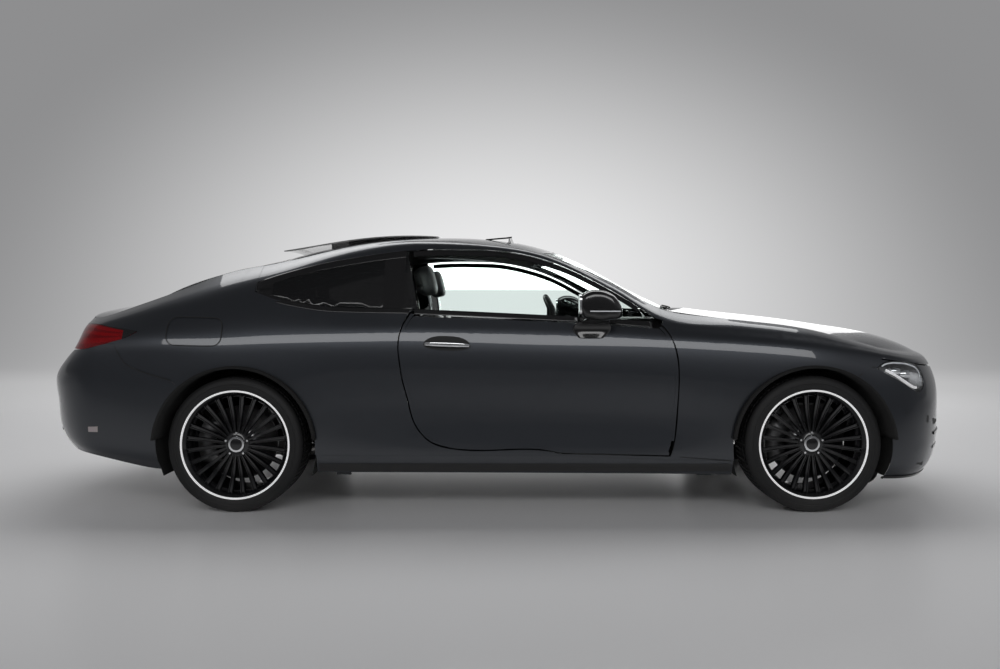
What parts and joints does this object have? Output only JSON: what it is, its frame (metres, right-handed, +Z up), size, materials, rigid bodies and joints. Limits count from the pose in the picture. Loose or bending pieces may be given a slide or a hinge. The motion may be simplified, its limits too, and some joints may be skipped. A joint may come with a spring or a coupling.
{
  "type": "two-door coupe car",
  "caption": "Low two-door coupe with hinged doors, bonnet and boot lid, steered front wheels, an open glass sunroof and multi-spoke wheels.",
  "frame": {"origin": "on the floor, midway along the car, in its middle plane", "axes": "+X forward, +Y to the car's left, +Z up"},
  "size_m": [4.8694, 2.032, 1.4252],
  "materials": {
    "paint": "dark grey metallic",
    "structure": "primed steel",
    "black_trim": "gloss black",
    "black_plastic": "grained black",
    "clear_glass": "tempered, faint green",
    "dark_glass": "dark tinted",
    "lamp_clear": "clear polycarbonate",
    "lamp_red": "red lens",
    "tyre": "rubber",
    "wheel_black": "gloss black",
    "disc_steel": "turned",
    "cast_metal": "cast",
    "exhaust_steel": "stainless",
    "leather": "black grained leather"
  },
  "bodies": {
    "body_shell": {"floor_pan": "structure", "boot_floor": "structure", "sills": "paint", "quarter_panel_right": "paint", "quarter_panel_left": "paint", "roof_rails": "paint", "roof_panel": "paint", "sunroof_glass": "dark_glass", "windscreen": "clear_glass", "rear_window": "dark_glass", "quarter_glass": "dark_glass", "wings": "paint", "front_bumper": "paint", "grille": "black_trim", "headlamps": "lamp_clear", "rear_bumper": "paint", "tail_lamps": "lamp_red", "arch_liners": "black_plastic", "engine_block": "cast_metal", "dashboard": "black_plastic", "front_seats": "leather", "rear_seat": "leather", "front_axle": "cast_metal", "rear_axle": "cast_metal", "exhaust": "exhaust_steel"},
    "bonnet": {"bonnet": "paint"},
    "boot_lid": {"boot_lid": "paint"},
    "steering_wheel": {"steering_wheel": "leather"},
    "door_right": {"door_right": "paint", "door_glass_right": "clear_glass", "mirror_right": "black_trim"},
    "knuckle_right": {"knuckle_right": "cast_metal"},
    "wheel_front_right": {"tyre_front_right": "tyre", "rim_front_right": "wheel_black", "disc_front_right": "disc_steel"},
    "wheel_rear_right": {"tyre_rear_right": "tyre", "rim_rear_right": "wheel_black", "disc_rear_right": "disc_steel"},
    "door_left": {"door_left": "paint", "door_glass_left": "clear_glass", "mirror_left": "black_trim"},
    "knuckle_left": {"knuckle_left": "cast_metal"},
    "wheel_front_left": {"tyre_front_left": "tyre", "rim_front_left": "wheel_black", "disc_front_left": "disc_steel"},
    "wheel_rear_left": {"tyre_rear_left": "tyre", "rim_rear_left": "wheel_black", "disc_rear_left": "disc_steel"}
  },
  "joints": [
    {"name": "door_right_swing", "type": "hinge", "parent": "body_shell", "child": "door_right", "pos_m": [0.815, -0.885, 0.55], "axis": [0, 0, 1], "range_deg": [0, 65]},
    {"name": "door_left_swing", "type": "hinge", "parent": "body_shell", "child": "door_left", "pos_m": [0.815, 0.885, 0.55], "axis": [0, 0, -1], "range_deg": [0, 65]},
    {"name": "bonnet_lift", "type": "hinge", "parent": "body_shell", "child": "bonnet", "pos_m": [0.873, 0, 0.99008], "axis": [0, -1, 0], "range_deg": [0, 60]},
    {"name": "boot_lift", "type": "hinge", "parent": "body_shell", "child": "boot_lid", "pos_m": [-1.739, 0, 1.06578], "axis": [0, 1, 0], "range_deg": [0, 50]},
    {"name": "steer_right", "type": "hinge", "parent": "body_shell", "child": "knuckle_right", "pos_m": [1.557, -0.745, 0.34], "axis": [0, 0, 1], "range_deg": [-35, 35]},
    {"name": "front_right_wheel_spin", "type": "hinge", "parent": "knuckle_right", "child": "wheel_front_right", "pos_m": [1.557, -0.8, 0.34], "axis": [0, 1, 0], "continuous": true},
    {"name": "rear_right_wheel_spin", "type": "hinge", "parent": "body_shell", "child": "wheel_rear_right", "pos_m": [-1.308, -0.8, 0.337], "axis": [0, 1, 0], "continuous": true},
    {"name": "steer_left", "type": "hinge", "parent": "body_shell", "child": "knuckle_left", "pos_m": [1.557, 0.745, 0.34], "axis": [0, 0, 1], "range_deg": [-35, 35]},
    {"name": "front_left_wheel_spin", "type": "hinge", "parent": "knuckle_left", "child": "wheel_front_left", "pos_m": [1.557, 0.8, 0.34], "axis": [0, 1, 0], "continuous": true},
    {"name": "rear_left_wheel_spin", "type": "hinge", "parent": "body_shell", "child": "wheel_rear_left", "pos_m": [-1.308, 0.8, 0.337], "axis": [0, 1, 0], "continuous": true},
    {"name": "steering_wheel_turn", "type": "hinge", "parent": "body_shell", "child": "steering_wheel", "pos_m": [0.367, 0.37, 0.927], "axis": [-0.9063, 0, 0.4226], "range_deg": [-490, 490]}
  ],
  "couplings": [
    {"joint": "steer_left", "follows": "steer_right", "ratio": 1},
    {"joint": "steering_wheel_turn", "follows": "steer_right", "ratio": 14}
  ]
}
